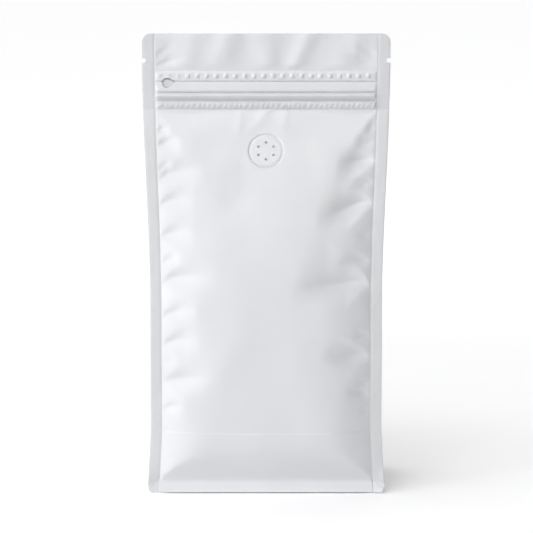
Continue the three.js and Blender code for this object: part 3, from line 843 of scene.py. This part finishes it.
# Noises: (scale, detail and, where it isn't 0.5, roughness). Bumps: (distance in metres, strength)
CLOUD, GLOSS = (38, 4), (90, 3)
GLOSS_LESS, GLOSS_MORE = 0.05, 0.06  # how far the roughness varies
GRAIN, GRAIN_BUMP = (2600, 2), (0.0001, 0.12)
CRINKLE, CRINKLE_BUMP = (170, 5, 0.6), (0.0006, 0.16)
PRESSED_BUMP = (0.0004, 1.0)


class Nodes:
    """Short names for building one material."""

    def __init__(self, name):
        self.material = bpy.data.materials.new(name)
        self.material.use_nodes = True
        self.tree = self.material.node_tree
        self.shader = self.tree.nodes["Principled BSDF"]
        self.coords = self.tree.nodes.new("ShaderNodeTexCoord").outputs["Object"]

    def feed(self, socket, value):
        if isinstance(value, bpy.types.NodeSocket):
            self.tree.links.new(value, socket)
        else:
            socket.default_value = value

    def add(self, kind, **inputs):
        node = self.tree.nodes.new(kind)
        for key, value in inputs.items():
            self.feed(node.inputs[key.replace("_", " ")], value)
        return node

    def noise(self, scale, detail=3.0, roughness=0.5):
        measures = {"Scale": scale, "Detail": detail, "Roughness": roughness}
        return self.add("ShaderNodeTexNoise", Vector=self.coords, **measures).outputs["Fac"]

    def span(self, value, low, high, start=0.3, end=0.7):
        node = self.tree.nodes.new("ShaderNodeMapRange")
        node.interpolation_type = "SMOOTHSTEP"
        self.tree.links.new(value, node.inputs["Value"])
        for key, number in (
            ("From Min", start), ("From Max", end), ("To Min", low), ("To Max", high),
        ):
            node.inputs[key].default_value = number
        return node.outputs["Result"]

    def mix(self, factor, a, b):
        node = self.tree.nodes.new("ShaderNodeMix")
        node.data_type = "RGBA"
        self.tree.links.new(factor, node.inputs["Factor"])
        node.inputs["A"].default_value, node.inputs["B"].default_value = (*a, 1), (*b, 1)
        return node.outputs["Result"]

    def combined(self, kind, operation, a, b):
        node = self.tree.nodes.new(kind)
        node.operation = operation
        for socket, value in zip(node.inputs, (a, b)):
            self.feed(socket, value)
        return node.outputs[0]

    def multiplied(self, a, b):
        return self.combined("ShaderNodeVectorMath", "MULTIPLY", a, b)

    def maths(self, operation, a, b):
        return self.combined("ShaderNodeMath", operation, a, b)

    def bump(self, height, measures, under=None):
        distance, strength = measures
        node = self.add("ShaderNodeBump", Height=height, Distance=distance, Strength=strength)
        if under is not None:
            self.tree.links.new(under, node.inputs["Normal"])
        return node.outputs["Normal"]

    def set(self, **inputs):
        for key, value in inputs.items():
            self.feed(self.shader.inputs[key.replace("_", " ")], value)
        return self.material


def film_material(name, base, shade, rough):
    """Matt laminated film: faintly cloudy, finely grained, softly crinkled, with painted shade on
    the side welds.
    """
    m = Nodes(name)
    colour = m.mix(m.span(m.noise(*CLOUD), 0, 1), base, shade)
    place = m.add("ShaderNodeSeparateXYZ", Vector=m.coords).outputs
    out, up = m.maths("ABSOLUTE", place["X"], 0.0), place["Z"]
    past = m.maths("SUBTRACT", out, m.span(up, *SEAM_OUT))
    past = m.maths("SUBTRACT", past, m.span(up, *SEAM_FOOT))
    weld = m.span(past, 0, 1, 0.0, WELD_EDGE)
    # a side weld's painted shade, darker than the film, ends along a slanted line above the foot
    mitre = m.maths("ADD", up, m.maths("MULTIPLY", past, MITRE_LEAN))
    side_weld_painted_shade = m.maths("MULTIPLY", weld, m.span(mitre, 0, 1, MITRE_FROM, MITRE_TO))
    colour = m.multiplied(colour, m.mix(side_weld_painted_shade, (1, 1, 1), WELD_PAINTED_SHADE))
    # two slanted lines are pressed into each corner of the foot
    fold = m.maths("ADD", up, m.maths("MULTIPLY", past, FOLD_LEAN))
    off_line = m.maths("ABSOLUTE", m.maths("SUBTRACT", fold, FOLD_AT), 0.0)
    line = m.span(off_line, 0, 1, 0.0, FOLD_HALF)
    pressed = m.maths("MINIMUM", line, m.maths("ADD", m.span(mitre, *MITRE_PRESS), 0.5))
    pressed = m.maths("MAXIMUM", pressed, m.maths("SUBTRACT", 1.0, weld))
    normal = m.bump(m.noise(*CRINKLE), CRINKLE_BUMP)
    normal = m.bump(m.noise(*GRAIN), GRAIN_BUMP, normal)
    normal = m.bump(pressed, PRESSED_BUMP, normal)
    gloss = m.span(m.noise(*GLOSS), rough - GLOSS_LESS, rough + GLOSS_MORE)
    return m.set(Base_Color=colour, Roughness=gloss, Normal=normal, IOR=1.46)


# ------------------------------------------------------------------ light, floor and camera

# Everything here is in metres. (name, azimuth, elevation, power)
LAMPS = [
    ("front", -10, 50, 12.3), ("key", -40, 50, 7.0), ("left", -60, 30, 2.9), ("low", -70, 5, 5.3),
    ("right", 20, 50, 3.7), ("rear", -150, 50, 0.9),
]
LAMP_SIZE, LAMP_AWAY, LAMP_AIM = 0.8, 2.0, (0, 0, 0.12)
# Soft glows in the surroundings: (direction, brightness at its middle)
GLOWS = [((-1, 0, 0.1), 2.216), ((0, 1, 0.3), 1.7), ((0, -1, 0.3), 0.197)]
GLOW_FALL = 3.0  # power of the cosine with which a glow fades to its sides

# The floor glows faintly, more so far off behind the bag, and is darker far in front of it.
FLOOR_HALF = 90.0
NEAR_GLOW, FAR_GLOW = 0.125, 0.45
GLOW_TURN = (0.25, 1.2)  # distances from the bag between which one gives way to the other
BEHIND = (-0.3, 0.3)
DARK_FLOOR, PALE_FLOOR = (0.55, 0.55, 0.56), (0.94, 0.94, 0.945)
FLOOR_SHADE = (-0.9, -0.25)
FLOOR_NOISE, FLOOR_ROUGH = (3, 2), (0.85, 0.95)

CAMERA_ELEVATION, CAMERA_AWAY = 7.5, 1.5
CAMERA_AIM = (0.0002, -0.012, 0.1254)
SENSOR, SEEN_WIDTH = 36, 0.3007  # the sensor in millimetres, and what it sees at the aim


def linked(name, data):
    obj = bpy.data.objects.new(name, data)
    bpy.context.scene.collection.objects.link(obj)
    return obj


def facing(direction):
    return direction.to_track_quat("-Z", "Y").to_euler()


def area_light(name, azimuth, elevation, power):
    """A soft square lamp aimed at the bag's middle."""
    around, up = math.radians(azimuth), math.radians(elevation)
    level_part = math.cos(up)
    towards = Vector((math.sin(around) * level_part, -math.cos(around) * level_part, math.sin(up)))
    data = bpy.data.lights.new(name, "AREA")
    data.shape, data.size, data.energy = "SQUARE", LAMP_SIZE, power
    lamp = linked(name, data)
    lamp.location = Vector(LAMP_AIM) + LAMP_AWAY * towards
    lamp.rotation_euler = facing(-towards)


def make_world():
    world = bpy.data.worlds.new("studio")
    world.use_nodes = True
    tree = world.node_tree
    coords = tree.nodes.new("ShaderNodeTexCoord").outputs["Generated"]
    total = None
    for direction, strength in GLOWS:
        dot = tree.nodes.new("ShaderNodeVectorMath")
        dot.operation = "DOT_PRODUCT"
        tree.links.new(coords, dot.inputs[0])
        dot.inputs[1].default_value = Vector(direction).normalized()
        last = dot.outputs["Value"]
        for operation, number in (("MAXIMUM", 0.0), ("POWER", GLOW_FALL), ("MULTIPLY", strength)):
            node = tree.nodes.new("ShaderNodeMath")
            node.operation = operation
            node.inputs[1].default_value = number
            tree.links.new(last, node.inputs[0])
            last = node.outputs[0]
        if total is not None:
            node = tree.nodes.new("ShaderNodeMath")
            tree.links.new(total, node.inputs[0])
            tree.links.new(last, node.inputs[1])
            last = node.outputs[0]
        total = last
    tree.links.new(total, tree.nodes["Background"].inputs["Strength"])
    tree.nodes["Background"].inputs["Color"].default_value = (1, 1, 1, 1)
    bpy.context.scene.world = world


def make_floor():
    m = Nodes("floor")
    away = m.tree.nodes.new("ShaderNodeVectorMath")
    away.operation = "LENGTH"
    m.tree.links.new(m.coords, away.inputs[0])
    distance = away.outputs["Value"]
    behind = m.add("ShaderNodeSeparateXYZ", Vector=m.coords).outputs["Y"]
    near = m.span(distance, NEAR_GLOW, 0, *GLOW_TURN)
    far = m.span(distance, 0, FAR_GLOW, *GLOW_TURN)
    far = m.maths("MULTIPLY", far, m.span(behind, 0, 1, *BEHIND))
    m.set(
        Base_Color=m.mix(m.span(behind, 0, 1, *FLOOR_SHADE), DARK_FLOOR, PALE_FLOOR),
        Roughness=m.span(m.noise(*FLOOR_NOISE), *FLOOR_ROUGH), Specular_IOR_Level=0.2,
        Emission_Color=(1, 1, 1, 1), Emission_Strength=m.maths("ADD", near, far),
    )
    shell = Shell()
    half = FLOOR_HALF / MM
    shell.face((-half, -half, 0.0), (half, -half, 0.0), (half, half, 0.0), (-half, half, 0.0))
    floor = shell.object("floor")
    floor.data.materials.append(m.material)


def make_camera():
    elevation = math.radians(CAMERA_ELEVATION)
    aim = Vector(CAMERA_AIM)
    data = bpy.data.cameras.new("camera")
    data.sensor_width = SENSOR
    data.lens = SENSOR * CAMERA_AWAY / SEEN_WIDTH
    camera = linked("camera", data)
    camera.location = aim + CAMERA_AWAY * Vector((0, -math.cos(elevation), math.sin(elevation)))
    camera.rotation_euler = facing(aim - camera.location)
    bpy.context.scene.camera = camera
    bpy.context.scene.view_settings.view_transform = "Standard"


make_camera()
make_world()
for lamp in LAMPS:
    area_light(*lamp)
make_floor()

for made, node, slot, material in (
    (make_pouch(), "pouch", "film", film_material(*FILM_LOOK)),
    (make_valve(), "valve", "valve", film_material(*VALVE_LOOK)),
    (make_tape(), "zipper_tape", "tape", film_material(*TAPE_PAINTED_SHADE_LOOK)),
):
    made.data.materials.clear()
    made.data.materials.append(material)
    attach(made, "root")
    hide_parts(node)
